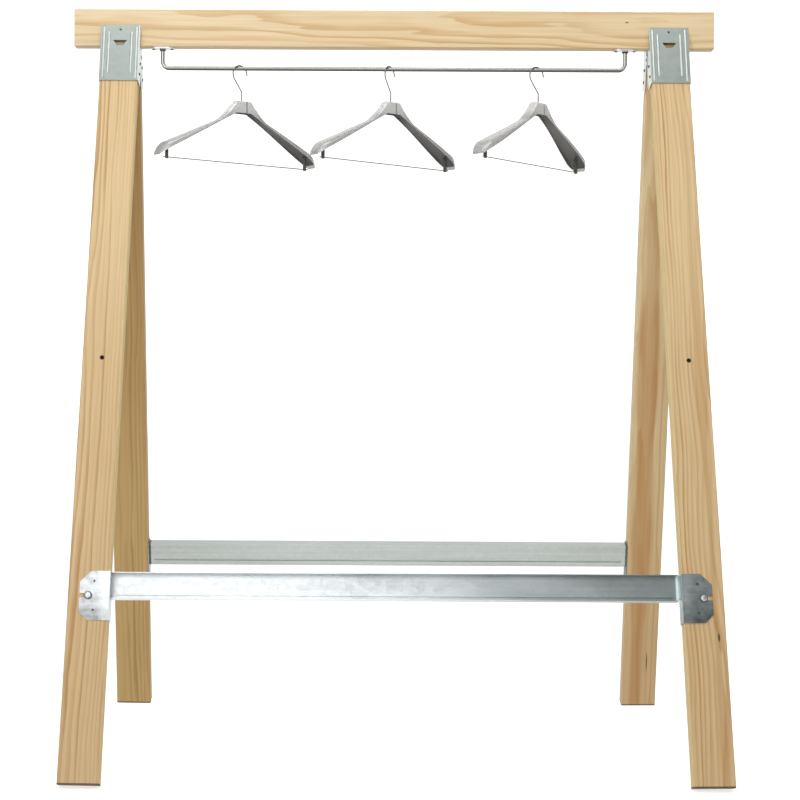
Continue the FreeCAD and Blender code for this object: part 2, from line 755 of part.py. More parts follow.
def neck_solid(arm, height, depth):
    """The neck stands between the arms and grows wider towards its foot."""
    flare = value("Sizes.neck_flare")
    outlines = []
    for level, extra in ((0, 0), (-height, flare)):
        length = 2 * arm.neck + 2 * extra
        width = depth + extra
        corner = FreeCAD.Vector(-length / 2, -width / 2, level)
        outlines.append(Part.makePlane(length, width, corner).OuterWire)
    block = Part.makeLoft(outlines, True, True)
    slanted = [edge for edge in block.Edges if edge.BoundBox.ZLength > height / 2]
    return block.makeFillet(value("Sizes.neck_depth / 3"), slanted)


def hanger_shell():
    arm = Arm()
    solid = arm_solid(arm)
    height = value("Sizes.neck_height")
    depth = value("Sizes.neck_depth")
    neck = neck_solid(arm, height, depth)
    hollow = arm_hollow(arm)

    def mirror(shape):
        return shape.mirror(FreeCAD.Vector(0, 0, 0), FreeCAD.Vector(1, 0, 0))

    shell = neck.fuse([solid, mirror(solid)]).cut([hollow, mirror(hollow)])
    stem = value("Sizes.hook_wire_radius + Sizes.turn_slack")
    shell = shell.cut(Part.makeCylinder(stem, height, FreeCAD.Vector(0, 0, -height)))
    # A flat seat for the head of the hook's stem
    seat = value("Sizes.hook_head_radius + Sizes.fastener_slack")
    shell = shell.cut(Part.makeCylinder(seat, arm.cavity, FreeCAD.Vector(0, 0, -height)))
    # A cross wall near each tip carries the pivot of the post
    thick = value("Sizes.post_thick")
    place = value("Layout.post_spread / 2")
    behind = place + thick
    slab = Part.makeBox(arm.wall, 4 * depth, arm.half, FreeCAD.Vector(behind, -2 * depth, -arm.half))
    wall = solid.common(slab)
    pivot = Part.makeCylinder(value("Sizes.pivot_radius"), 2 * thick,
                              FreeCAD.Vector(behind - 2 * thick + arm.wall / 2, value("Layout.post_bow"),
                                             -value("Layout.pivot_drop")), FreeCAD.Vector(1, 0, 0))
    shell = shell.fuse([wall, mirror(wall), pivot, mirror(pivot)])
    return shell.removeSplitter()


def hanger_place(name, turn="hanger"):
    """The neck hangs a little behind the rod, because the crook stands off to one side of the stem."""
    behind = f"Sizes.hook_offset * sin(Sizes.{name}_hook_turn * 1 deg)"
    return at(f"Layout.{name}_hanger_place", behind, "Layout.rod_height - Sizes.hanger_drop",
              turned(ABOUT_Z, f"Sizes.{name}_{turn}_turn"))


def make_hanger_body(name, shape):
    item = doc.addObject("Part::Feature", "HangerBody")
    item.Shape = shape
    keep(item, f"{name}_hanger_body", hanger_place(name))


def make_hook(name):
    """Straight stem, slanted neck and a round crook that lies over the rod."""
    wire = "Sizes.hook_wire_radius"
    ring = "Sizes.hook_radius"
    aside = "Sizes.hook_offset"
    centre = f"(Sizes.hanger_drop + Sizes.rod_radius + Sizes.hook_rest_gap + {wire} - {ring})"
    below = f"({centre} - Sizes.hook_stem)"
    # The slanted neck is a tangent from the top of the stem to the crook
    far = f"sqrt({below} * {below} + {aside} * {aside})"
    slant = f"sqrt({below} * {below} + {aside} * {aside} - {ring} * {ring})"
    touch = f"(acos({ring} / {far}) - atan({aside} / {below}))"
    floor = "(Sizes.neck_height - Sizes.neck_cavity + Sizes.jaw_gap + Sizes.hook_head_height)"
    stem = cylinder(wire, f"{floor} + Sizes.hook_stem", at(0, 0, f"-{floor}"))
    head = cylinder("Sizes.hook_head_radius", "Sizes.hook_head_height", at(0, 0, f"-{floor}"))
    knee = sphere(wire, at(0, 0, "Sizes.hook_stem"))
    neck = cylinder(wire, slant, at(0, 0, "Sizes.hook_stem", turned(ABOUT_Y, f"{touch} - 90 deg")))
    crook = doc.addObject("Part::Torus", "Crook")
    turn = turned(ABOUT_X, 90) + " * " + turned(ABOUT_Z, "-Sizes.hook_tip_angle")
    bind(crook, Radius1=ring, Radius2=wire, Angle3=f"270 deg - {touch} + Sizes.hook_tip_angle * 1 deg",
         Placement=at(f"-{aside}", 0, centre, turn))
    tip = sphere(wire, at(f"{ring} * cos(Sizes.hook_tip_angle * 1 deg) - {aside}", 0,
                          f"{centre} - {ring} * sin(Sizes.hook_tip_angle * 1 deg)"))
    keep(fuse(stem, head, knee, neck, crook, tip), f"{name}_hanger_hook", hanger_place(name, "hook"))


def make_posts(name):
    bow = "Layout.post_bow"
    thick = "Sizes.post_thick"
    posts = []
    for side in (-1, 1):
        start = f"({side} * Layout.post_spread - {thick}) / 2"
        turn = turned(ABOUT_Y, 90)
        pivot_place = at(start, bow, "-Layout.pivot_drop", turn)
        bar_place = at(start, bow, "-Layout.bar_drop", turn)
        eye = cylinder("Sizes.post_eye_radius", thick, pivot_place)
        foot = cylinder("Sizes.post_width / 2", thick, bar_place)
        stem = box(thick, "Sizes.post_width", "Sizes.bar_hang",
                   at(start, f"{bow} - Sizes.post_width / 2", "-Layout.bar_drop"))
        pivot_hole = cylinder("Sizes.pivot_radius + Sizes.turn_slack", thick, pivot_place)
        bar_hole = cylinder("Sizes.bar_radius + Sizes.turn_slack", thick, bar_place)
        posts.append(cut(fuse(eye, foot, stem), pivot_hole, bar_hole))
    keep(group(*posts), f"{name}_hanger_posts", hanger_place(name))


def make_bar(name):
    bow = "Layout.post_bow"
    length = "(Layout.post_spread + Sizes.post_thick + 2 * Sizes.bar_overhang)"
    rod = doc.addObject("Part::Cylinder", "Bar")
    bind(rod, Radius="Sizes.bar_radius", Height=length)
    stand = at(f"-{length} / 2", bow, "-Layout.bar_drop", turned(ABOUT_Y, 90))
    keep(rod, f"{name}_hanger_bar", hanger_place(name) + " * " + stand)


# The rack

make_beam()
make_rod()
for side, word in ((-1, "left"), (1, "right")):
    make_rod_flange(side, f"{word}_rod_flange")
    make_rivets(side, f"{word}_hinge_rivets")
make_rod_flange_screws()
for frame, facing in (("front", 1), ("rear", -1)):
    for side in (-1, 1):
        # A rear frame is a front frame turned about, so its left and right change places
        word = "left" if side * facing < 0 else "right"
        make_leg(frame, side, f"{frame}_{word}_leg")
        make_bracket(frame, side, f"{frame}_{word}_bracket")
    make_leg_screws(frame, f"{frame}_leg_screws")
    make_rail(frame, f"{frame}_rail")
    make_rail_bolts(frame, f"{frame}_rail_bolts")
    make_rail_washers(frame, f"{frame}_rail_washers")
shell_shape = hanger_shell()
for name in ("left", "middle", "right"):
    make_hanger_body(name, shell_shape)
    make_hook(name)
    make_posts(name)
    make_bar(name)

doc.recompute()
for item in doc.Objects:
    if "Invalid" in item.State or "Error" in item.State:
        raise RuntimeError("failed: " + item.Name + " " + item.Label)
for item in sub_parts:
    if item.Shape.isNull() or not item.Shape.isValid():
        raise RuntimeError("bad shape: " + item.Label)
os.makedirs("parts", exist_ok=True)
for item in sub_parts:
    item.Shape.exportStep("parts/" + item.Label + ".step")
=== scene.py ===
"""Looks of the folding clothes rack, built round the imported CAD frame. Metres, +Z up, -Y to the viewer."""
import json
import math

import bmesh
import bpy
from mathutils import Matrix, Vector


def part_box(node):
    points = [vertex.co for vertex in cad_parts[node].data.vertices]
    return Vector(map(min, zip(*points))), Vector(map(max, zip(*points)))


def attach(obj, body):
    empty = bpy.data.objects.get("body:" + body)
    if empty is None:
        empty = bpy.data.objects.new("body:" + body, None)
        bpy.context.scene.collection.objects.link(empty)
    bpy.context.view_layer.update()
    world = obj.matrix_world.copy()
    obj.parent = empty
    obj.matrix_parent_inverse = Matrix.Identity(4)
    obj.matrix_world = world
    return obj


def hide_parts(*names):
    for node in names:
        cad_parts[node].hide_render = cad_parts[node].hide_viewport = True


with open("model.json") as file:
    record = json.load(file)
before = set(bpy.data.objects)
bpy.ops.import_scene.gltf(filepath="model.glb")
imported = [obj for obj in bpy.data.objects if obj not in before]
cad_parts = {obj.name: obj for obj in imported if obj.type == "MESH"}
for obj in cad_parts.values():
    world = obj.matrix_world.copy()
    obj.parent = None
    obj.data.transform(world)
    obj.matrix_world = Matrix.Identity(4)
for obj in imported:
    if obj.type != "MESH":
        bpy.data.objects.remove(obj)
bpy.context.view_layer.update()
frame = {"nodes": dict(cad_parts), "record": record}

# Sizes shared with the CAD. What the frame knows is read from it
JOINTS = {joint["name"]: joint for joint in frame["record"]["behaviour"]["joints"]}
MOUNTS = {mount["name"]: mount for mount in frame["record"]["mounts"]}
HANGERS = ("left", "middle", "right")
FRAMES = {"front": True, "rear": False}
LEAN = math.radians(JOINTS["front_fold"]["range_deg"][1])
PIN_HEIGHT = JOINTS["front_fold"]["pos_m"][2]
BEAM_LOW, BEAM_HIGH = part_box("top_beam")
BEAM_LENGTH = BEAM_HIGH.x - BEAM_LOW.x
BEAM_LEVEL = (BEAM_LOW.z + BEAM_HIGH.z) / 2
BOARD_THICK = BEAM_HIGH.y - BEAM_LOW.y
BOARD_WIDTH = BEAM_HIGH.z - BEAM_LOW.z
SPLAY = math.radians(0.65)
LEG_LENGTH = 1.686
LEG_INSET = 0.110
LEG_SPACING = BEAM_LENGTH - 2 * LEG_INSET
FOLD_GAP = 0.00075
LEG_OUTER = BOARD_THICK + FOLD_GAP
SHEET = 0.0015
EAR_RADIUS = 0.011
EAR_GAP = 0.0003
# The two leg frames stand this far to either side, so that their bracket ears pass each other
FRAME_SHIFT = (SHEET + EAR_GAP) / 2
LEG_TOP_GAP = 0.001
LEG_TOP = EAR_RADIUS + LEG_TOP_GAP
SOCKET_SLACK = 0.0008
BRACKET_HALF = BOARD_WIDTH / 2 + SOCKET_SLACK + SHEET
BRACKET_REACH = 0.078
JAW_GAP = 0.0001
# The top edge of a bracket plate meets the side of the beam
PLATE_TOP = (LEG_OUTER * math.cos(LEAN) - BOARD_THICK / 2 - JAW_GAP) / math.sin(LEAN)
RAIL_DROP = 1.244
END_PLATE_HEIGHT = 0.107
# Down a leg from its top to the bolt, which is in the middle of a rail's end plate
BOLT_DOWN = RAIL_DROP - LEG_TOP + END_PLATE_HEIGHT / 2
ROD_INSET = 0.099
ROD_SPAN = LEG_SPACING - 2 * ROD_INSET
ROD_RADIUS = 0.005
FLANGE_THICK = 0.003


# Shader arithmetic

class Signal:
    """A shader socket that takes part in sums."""

    def __init__(self, looks, socket):
        self.looks = looks
        self.socket = socket

    def __add__(self, other):
        return self.looks.maths("ADD", self, other)

    def __radd__(self, other):
        return self.looks.maths("ADD", other, self)

    def __sub__(self, other):
        return self.looks.maths("SUBTRACT", self, other)

    def __rsub__(self, other):
        return self.looks.maths("SUBTRACT", other, self)

    def __mul__(self, other):
        return self.looks.maths("MULTIPLY", self, other)

    def __rmul__(self, other):
        return self.looks.maths("MULTIPLY", other, self)

    def __truediv__(self, other):
        return self.looks.maths("DIVIDE", self, other)

    def __rtruediv__(self, other):
        return self.looks.maths("DIVIDE", other, self)


class Looks:
    """A material and the nodes that make it."""

    def __init__(self, name):
        self.material = bpy.data.materials.new(name)
        self.material.use_nodes = True
        self.tree = self.material.node_tree
        self.shader = self.tree.nodes["Principled BSDF"]

    def feed(self, socket, item):
        if isinstance(item, Signal):
            self.tree.links.new(item.socket, socket)
        else:
            socket.default_value = item

    def node(self, kind, inputs, output=0, **settings):
        made = self.tree.nodes.new(kind)
        for key, setting in settings.items():
            setattr(made, key, setting)
        for key, item in inputs.items():
            self.feed(made.inputs[key], item)
        return Signal(self, made.outputs[output])

    def maths(self, operation, *items):
        return self.node("ShaderNodeMath", dict(enumerate(items)), operation=operation)

    def place(self, matrix):
        """Object coordinates seen from a local frame."""
        coords = self.node("ShaderNodeTexCoord", {}, "Object")
        inputs = {"Vector": coords, "Location": matrix.translation, "Rotation": matrix.to_euler()}
        return self.node("ShaderNodeMapping", inputs, vector_type="TEXTURE")

    def split(self, vector):
        """The three parts of a vector."""
        first = self.node("ShaderNodeSeparateXYZ", {0: vector})
        return [Signal(self, part) for part in first.socket.node.outputs]

    def join(self, x, y, z):
        return self.node("ShaderNodeCombineXYZ", {0: x, 1: y, 2: z})

    def reach(self, across, up):
        """How far a point lies from an axis."""
        return self.maths("SQRT", across * across + up * up)

    def noise(self, vector, scale, detail, rough=0.5):
        inputs = {"Vector": vector, "Scale": scale, "Detail": detail, "Roughness": rough}
        return self.node("ShaderNodeTexNoise", inputs, "Fac")

    def grain(self, vector, scales, detail):
        """Noise with a scale of its own along each axis."""
        scaled = self.node("ShaderNodeVectorMath", {0: vector, 1: scales}, operation="MULTIPLY")
        return self.noise(scaled, 1.0, detail)

    def cells(self, vector, scale):
        """One random grey for each cell."""
        colour = self.node("ShaderNodeTexVoronoi", {"Vector": vector, "Scale": scale}, "Color")
        return self.split(colour)[0]

    def step(self, item, low, high):
        """Smooth step from 0 at low to 1 at high."""
        return self.node("ShaderNodeMapRange", {"Value": item, "From Min": low, "From Max": high},
                         interpolation_type="SMOOTHSTEP")

    def mix(self, share, first, second, blend="MIX"):
        return self.node("ShaderNodeMix", {0: share, 6: first, 7: second}, 2, data_type="RGBA",
                         blend_type=blend)

    def grey(self, item):
        return self.node("ShaderNodeCombineColor", {0: item, 1: item, 2: item})

    def shade(self, colour, share):
        """A colour made darker or brighter by a share."""
        return self.mix(1.0, colour, self.grey(share), "MULTIPLY")

    def bump(self, height, strength, distance):
        return self.node("ShaderNodeBump", {"Height": height, "Strength": strength, "Distance": distance})

    def finish(self, **inputs):
        for key, item in inputs.items():
            self.feed(self.shader.inputs[key.replace("_", " ")], item)
        return self.material


def rgb(red, green, blue):
    """A colour given as the eight-bit values seen in a picture."""
    def linear(part):
        share = part / 255
        return share / 12.92 if share <= 0.04045 else ((share + 0.055) / 1.055) ** 2.4
    return (linear(red), linear(green), linear(blue), 1.0)


# Pine. The scales of its patterns run across, through and along a board

RING_WARP = (45, 45, 3.5)
RING_PATCHES = (26, 26, 1.1)
FIBRES = (900, 900, 9)
FINE_LINES = (230, 230, 3)
WOOD_CLOUDS = (14, 14, 2.2)
END_DEPTH = 0.0006
# A leg's foot is darker: end grain with painted shade
FOOT_SHADE_DEPTH = 0.0042
END_GRAIN = rgb(140, 100, 62)
FOOT_GRAIN_AND_SHADE = rgb(54, 38, 24)
# Knots, and painted shade behind nail holes
KNOT_AND_HOLE_SHADE = rgb(48, 31, 20)
LIT_EDGE = rgb(255, 228, 164)
HOLE_SHADE = rgb(30, 20, 13)


class Board:
    """How one board was sawn. The heart is the middle of the tree in the board's own frame, and it drifts
    along the board by the tilt and the sway. The tones are those of early wood at the top, of late wood, and
    of early wood at the foot. The lit side is the edge that faces the middle of the rack, and light is
    painted on it."""

    def __init__(self, node, place, length, seed, pitch, heart, tilt, sway, tones, contrast, knots_and_hole_shades=(),
                 streak=None, lit_side=0):
        self.node = node
        self.place = place
        self.length = length
        self.seed = seed
        self.pitch = pitch
        self.heart = heart
        self.tilt = tilt
        self.sway = sway
        self.pale, self.deep, self.foot = tones
        self.contrast = contrast
        self.knots_and_hole_shades = knots_and_hole_shades
        self.streak = streak
        self.lit_side = lit_side


def year_rings(looks, place, board):
    """How far a point lies in late wood, from rings that wander along the board and fade in and out."""
    x, y, z = looks.split(place)
    along = looks.join(board.seed, board.seed * 0.7, z)
    sway_x = (looks.noise(along, 1.1, 1.0) - 0.5) * board.sway
    sway_y = (looks.noise(along, 2.3, 1.0) - 0.5) * board.sway * 0.6
    off_x = x - board.heart[0] + z * board.tilt[0] + sway_x
    off_y = y - board.heart[1] + z * board.tilt[1] + sway_y
    warp = (looks.grain(place, RING_WARP, 2.0) - 0.5) * board.pitch * 1.7
    phase = (looks.reach(off_x, off_y) + warp) / board.pitch + board.seed
    share = looks.maths("FRACT", phase)
    ring = looks.maths("FLOOR", phase)
    force = looks.node("ShaderNodeTexWhiteNoise", {"W": ring}, "Value", noise_dimensions="1D")
    late = looks.step(share, 0.3, 0.92) * (1 - looks.step(share, 0.93, 1.0)) * (0.35 + 0.65 * force)
    patch = looks.step(looks.grain(place, RING_PATCHES, 1.0), 0.36, 0.6)
    return late * (0.35 + 0.85 * patch)


def heart_streak(looks, place, board):
    """A broad darker streak with wavy edges, given as across, half-width and strength, growing downwards."""
    x, y, z = looks.split(place)
    across, half, strength = board.streak
    along = looks.join(board.seed, board.seed * 0.3, z)
    wave = (looks.noise(along, 3.0, 1.0) - 0.5) * half * 2.2
    far = looks.maths("ABSOLUTE", x - across)
    inside = looks.step(far + wave, half * 1.1, half * 0.6)
    return inside * looks.step(z, 0.5, -0.7 * board.length) * strength


def knot_and_hole_shade_share(looks, place, board):
    """A dark spot for each knot, and painted shade behind each nail hole, given as across, along, half-width
    and half-length. The spots of a front leg lie in its outer half."""
    x, y, z = looks.split(place)
    total = 0.0
    for across, along, wide, tall in board.knots_and_hole_shades:
        side = (x - across) / wide
        up = (z - along) / tall
        total = total + looks.step(side * side + up * up, 1.0, 0.1)
    if "front" in board.node:
        total = total * looks.step(y, -LEG_OUTER / 2, -LEG_OUTER * 0.7)
    return total


def lit_share(looks, place, board):
    """Painted light on the edge of a front leg that faces the middle of the rack."""
    x = looks.split(place)[0]
    edge = BOARD_WIDTH / 2
    return looks.step(x * board.lit_side, edge - 0.002, edge - 0.0005)


def hole_shade_share(looks, place, board, mount):
    """Painted shade on the walls of the hole through a front leg, which lie in the dark."""
    middle = board.place.inverted() @ Vector(mount["pos_m"])
    radius = mount["dims"]["r_mm"] / 1000
    x, y, z = looks.split(place)
    return looks.step(looks.reach(x - middle.x, z - middle.z), radius + 0.0003, radius + 0.0001)


def sawn_ends(looks, place, board, colour):
    """Darker end grain. The foot of a leg has a dark rim as well, of end grain and painted shade."""
    z = looks.split(place)[2]
    top = looks.step(z, -END_DEPTH, -END_DEPTH / 3)
    colour = looks.mix(top * 0.7, colour, END_GRAIN)
    depth, tone = END_DEPTH, END_GRAIN
    # A leg's foot has a deeper dark band of end grain with painted shade
    if "leg" in board.node:
        depth, tone = FOOT_SHADE_DEPTH, FOOT_GRAIN_AND_SHADE
    foot = looks.step(z, depth - board.length, depth * 0.7 - board.length)
    return looks.mix(foot * 0.85, colour, tone)


def pine(board):
    """Plain-sawn pine: year rings cut by the faces of the board, thin lines, fibres, darker sawn ends and
    painted shade.
    """
    looks = Looks(board.node + "_pine")
    place = looks.place(board.place)
    z = looks.split(place)[2]
    late = year_rings(looks, place, board)
    fibres = looks.grain(place, FIBRES, 3.0)
    lines = looks.grain(place, FINE_LINES, 2.0)
    cloud = looks.grain(place, WOOD_CLOUDS, 2.0)
    early = looks.mix(looks.step(z, 0.0, -board.length), board.pale, board.foot)
    deep_share = looks.step(cloud, 0.3, 0.75) * 0.22 + late * board.contrast
    if board.streak:
        deep_share = deep_share + heart_streak(looks, place, board)
    colour = looks.mix(looks.maths("MINIMUM", deep_share, 1.0), early, board.deep)
    # Dark knots, and painted shade behind nail holes
    if board.knots_and_hole_shades:
        colour = looks.mix(knot_and_hole_shade_share(looks, place, board) * 0.92, colour, KNOT_AND_HOLE_SHADE)
    colour = looks.shade(colour, 0.8 + 0.14 * fibres + 0.26 * lines)
    rough = 0.62 - 0.1 * late
    # Painted light on the edge that faces the middle of the rack
    if board.lit_side:
        lit = lit_share(looks, place, board)
        colour = looks.mix(lit * 0.85, colour, LIT_EDGE)
        rough = rough + 0.35 * lit
    # Painted shade in the hole through a front leg
    mount = MOUNTS.get(board.node + "_hole")
    if mount:
        colour = looks.mix(hole_shade_share(looks, place, board, mount) * 0.95, colour, HOLE_SHADE)
    colour = sawn_ends(looks, place, board, colour)
    relief = looks.bump(fibres * 0.5 + late * 0.5, 0.12, 0.0006)
    return looks.finish(Base_Color=colour, Roughness=rough, Normal=relief)


# Galvanised sheet

ZINC_CLOUDS = (6, 20, 20)
RAIL_STREAKS = (2.5, 150, 150)
SPANGLE_SCALE = 95.0
MOTTLE_SCALE = 70.0
# The end plates of a rail begin this far inside the middles of the leg tops
END_PLATE_REACH = 0.031


class Zinc(Looks):
    """Galvanised sheet with a soft spangle. Its tone can run from light to dark along the rack, which on
    the front rail is painted light, brightest at the left.
    """

    def __init__(self, name, light, dark, slope=0.0, offset=0.0):
        super().__init__(name)
        self.point = self.place(Matrix())
        self.x, self.y, self.z = self.split(self.point)
        self.aside = self.maths("ABSOLUTE", self.x)
        cloud = self.grain(self.point, ZINC_CLOUDS, 3.0)
        run = self.step(self.x * slope + offset + (cloud - 0.5) * 0.5, 0.0, 1.0)
        self.tone = self.mix(run, light, dark)

    def spangled(self):
        spangle = self.cells(self.point, SPANGLE_SCALE)
        colour = self.shade(self.tone, 0.93 + 0.1 * spangle)
        return self.finish(Base_Color=colour, Metallic=0.85, Roughness=0.34 + 0.12 * spangle)


def bracket_zinc():
    """The zinc of the brackets. The flanges that face the middle of the rack have painted light."""
    sheet = Zinc("bracket_zinc", rgb(158, 166, 161), rgb(145, 152, 148))
    flange = LEG_SPACING / 2 - BRACKET_HALF + SHEET
    # Painted light on the flanges that face the middle of the rack
    inner = sheet.step(sheet.aside, flange + 0.001, flange)
    sheet.tone = sheet.mix(inner * 0.4, sheet.tone, rgb(244, 246, 245))
    return sheet.spangled()


def plate_painted_shade(sheet, edge):
    """Painted shade on an end plate: more below, more outside, and mottled. Both rails lie at the same
    height."""
    low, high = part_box("front_rail")
    low_part = sheet.step(sheet.z, high.z - 0.03, low.z)
    outer_part = sheet.step(sheet.aside, edge + 0.01, LEG_SPACING / 2)
    mottle = sheet.noise(sheet.point, MOTTLE_SCALE, 3.0, 0.6) - 0.5
    return 0.4 * low_part + 0.25 * outer_part - 0.1 - 0.7 * mottle


def rail_zinc(name, light, dark, slope, left_fold_light, right_fold_light):
    """The zinc of a rail, with streaks along it. The folds beside the left and the right end plate carry
    painted light by a share: brighter than the rest where it is positive, darker where it is negative.
    The left part of the rail has painted shade."""
    sheet = Zinc(name, light, dark, slope, offset=0.4)
    edge = LEG_SPACING / 2 - END_PLATE_REACH
    on_plate = sheet.step(sheet.aside, edge - 0.001, edge + 0.001)
    beside = sheet.step(sheet.aside, edge - 0.007, edge - 0.005) * (1 - on_plate)
    # Painted light on the folds beside the end plates, darker where the share is negative
    fold_light = beside * (left_fold_light + (right_fold_light - left_fold_light) * sheet.step(sheet.x, -0.1, 0.1))
    streaks = sheet.grain(sheet.point, RAIL_STREAKS, 3.0) - 0.5
    # Painted shade on the left part of the rail
    left_shade = sheet.step(sheet.x, -0.2, -0.6)
    share = 1 + 0.3 * streaks + fold_light - on_plate * plate_painted_shade(sheet, edge) - 0.1 * left_shade
    sheet.tone = sheet.shade(sheet.tone, share)
    return sheet.spangled()


# Other metals and plastics

DRAWN_LINES = (8, 300, 300)
SMALL_LINES = (200, 200, 200)
WIRE_LINES = (60, 60, 60)
HANGER_CLOUDS = (24, 24, 50)
# Where painted light and a painted dark reflection lie on a hanger's neck, seen from the middle of its top
NECK_LIGHT_FADE = (-0.042, -0.018)
REFLECTION_ACROSS = 0.0065
REFLECTION_EDGE = (0.0026, 0.001)
REFLECTION_FOOT = (-0.034, -0.027)
REFLECTION_GREY = rgb(96, 94, 92)


def metal(name, colour, rough, scales=SMALL_LINES):
    """Bright metal with fine lines."""
    looks = Looks(name)
    lines = looks.grain(looks.place(Matrix()), scales, 2.0)
    tone = looks.shade(colour, 0.9 + 0.2 * lines)
    return looks.finish(Base_Color=tone, Metallic=1.0, Roughness=rough + 0.08 * lines)


def round_bar(name, lit_tone, shaded_tone, level, radius):
    """A bright round bar with lines drawn along it, with painted shade towards its underside."""
    looks = Looks(name)
    place = looks.place(Matrix())
    z = looks.split(place)[2]
    lines = looks.grain(place, DRAWN_LINES, 2.0)
    # Painted shade towards the underside of the bar
    tone = looks.mix(looks.step(z, level + radius, level - radius), lit_tone, shaded_tone)
    tone = looks.shade(tone, 0.9 + 0.2 * lines)
    return looks.finish(Base_Color=tone, Metallic=1.0, Roughness=0.2 + 0.08 * lines)


def collared(name, colour, collar_shade, level):
    """A pale plate whose parts below a level are black, as painted shade where the rod goes in."""
    looks = Looks(name)
    place = looks.place(Matrix())
    z = looks.split(place)[2]
    lines = looks.grain(place, SMALL_LINES, 2.0)
    # Painted shade: black below the level, round the rod
    below = looks.step(z, level, level - 0.0004)
    tone = looks.shade(looks.mix(below, colour, collar_shade), 0.9 + 0.2 * lines)
    return looks.finish(Base_Color=tone, Metallic=0.8 - 0.8 * below, Roughness=0.32 + 0.1 * lines)


def plastic(name, colour, rough):
    """Moulded plastic with a fine grain."""
    looks = Looks(name)
    place = looks.place(Matrix())
    cloud = looks.noise(place, 14.0, 3.0)
    grain = looks.noise(place, 900.0, 2.0)
    tone = looks.shade(colour, 0.94 + 0.12 * cloud)
    relief = looks.bump(grain, 0.05, 0.0003)
    return looks.finish(Base_Color=tone, Roughness=rough + 0.1 * (grain - 0.5), Normal=relief)


def silvered(name, place, colour, lit_tone):
    """Silver plastic of a hanger, painted light on the neck and a painted dark reflection down its right."""
    looks = Looks(name)
    point = looks.place(place)
    x, y, z = looks.split(point)
    cloud = looks.grain(point, HANGER_CLOUDS, 2.0)
    # A painted dark reflection down the right of the neck
    dark_reflection = looks.step(looks.maths("ABSOLUTE", x - REFLECTION_ACROSS), *REFLECTION_EDGE) * looks.step(z, *REFLECTION_FOOT)
    # Painted light on the neck
    tone = looks.mix(looks.step(z, *NECK_LIGHT_FADE), colour, lit_tone)
    tone = looks.mix(dark_reflection * 0.7, tone, REFLECTION_GREY)
    tone = looks.shade(tone, 0.93 + 0.14 * cloud)
    return looks.finish(Base_Color=tone, Metallic=0.3, Roughness=0.34 + 0.1 * cloud)


# Local frames

def stand(front):
    """The frame of a leg frame: the hinge pin is its origin and the legs hang straight down."""
    facing = Matrix.Translation((FRAME_SHIFT if front else -FRAME_SHIFT, 0, PIN_HEIGHT))
    if not front:
        facing = facing @ Matrix.Rotation(math.pi, 4, "Z")
    return facing @ Matrix.Rotation(-LEAN, 4, "X")


def leg_frame(front, side):
    """The frame of a leg: X across it from its middle, Y through it from the hinge and Z up to its top."""
    top = Matrix.Translation((side * LEG_SPACING / 2, 0, -LEG_TOP))
    return stand(front) @ top @ Matrix.Rotation(-side * SPLAY, 4, "Y")


def beam_frame():
    """The frame of the beam: X up it from its middle, and Z along it to its right-hand end."""
    return Matrix(((0, 0, 1, BEAM_HIGH.x), (0, -1, 0, 0), (1, 0, 0, BEAM_LEVEL), (0, 0, 0, 1)))


def hanger_frame(name):
    """The frame of a hanger: the middle of the neck's top is its origin and the arms run along X."""
    place = Vector(JOINTS[f"{name}_shoulder_swivel"]["pos_m"])
    arms = JOINTS[f"{name}_trouser_bar_swing"]["axis"]
    return Matrix.Translation(place) @ Matrix.Rotation(math.atan2(arms[1], arms[0]), 4, "Z")


# Building meshes

def as_object(name, form, materials, crease):
    """Turns a bmesh into an object with smooth faces, creased where they meet at more than some degrees."""
    bmesh.ops.recalc_face_normals(form, faces=form.faces)
    mesh = bpy.data.meshes.new(name)
    form.to_mesh(mesh)
    form.free()
    for material in materials:
        mesh.materials.append(material)
    mesh.shade_smooth()
    mesh.set_sharp_from_angle(angle=math.radians(crease))
    piece = bpy.data.objects.new(name, mesh)
    bpy.context.scene.collection.objects.link(piece)
    return piece


def join_rings(form, rings):
    """Faces between neighbouring closed rings of points, and over both ends."""
    for low, high in zip(rings, rings[1:]):
        for index, corner in enumerate(low):
            after = (index + 1) % len(low)
            form.faces.new((corner, low[after], high[after], high[index]))
    form.faces.new(rings[0])
    form.faces.new(rings[-1])


def lathe(name, profile, count):
    """A turned form. Each row of the profile is a radius, a height and a share of six-sidedness."""
    form = bmesh.new()
    rings = []
    for radius, height, sided in profile:
        ring = []
        for index in range(count):
            angle = 2 * math.pi * index / count
            corner = (angle + math.pi / 6) % (math.pi / 3) - math.pi / 6
            reach = radius * (1 + sided * (1 / math.cos(corner) - 1))
            ring.append(form.verts.new((reach * math.cos(angle), reach * math.sin(angle), height)))
        rings.append(ring)
    join_rings(form, rings)
    return as_object(name, form, [], crease=35)


def named_vector(tree, name):
    made = tree.nodes.new("GeometryNodeInputNamedAttribute")
    made.data_type = "FLOAT_VECTOR"
    made.inputs["Name"].default_value = name
    return made.outputs["Attribute"]


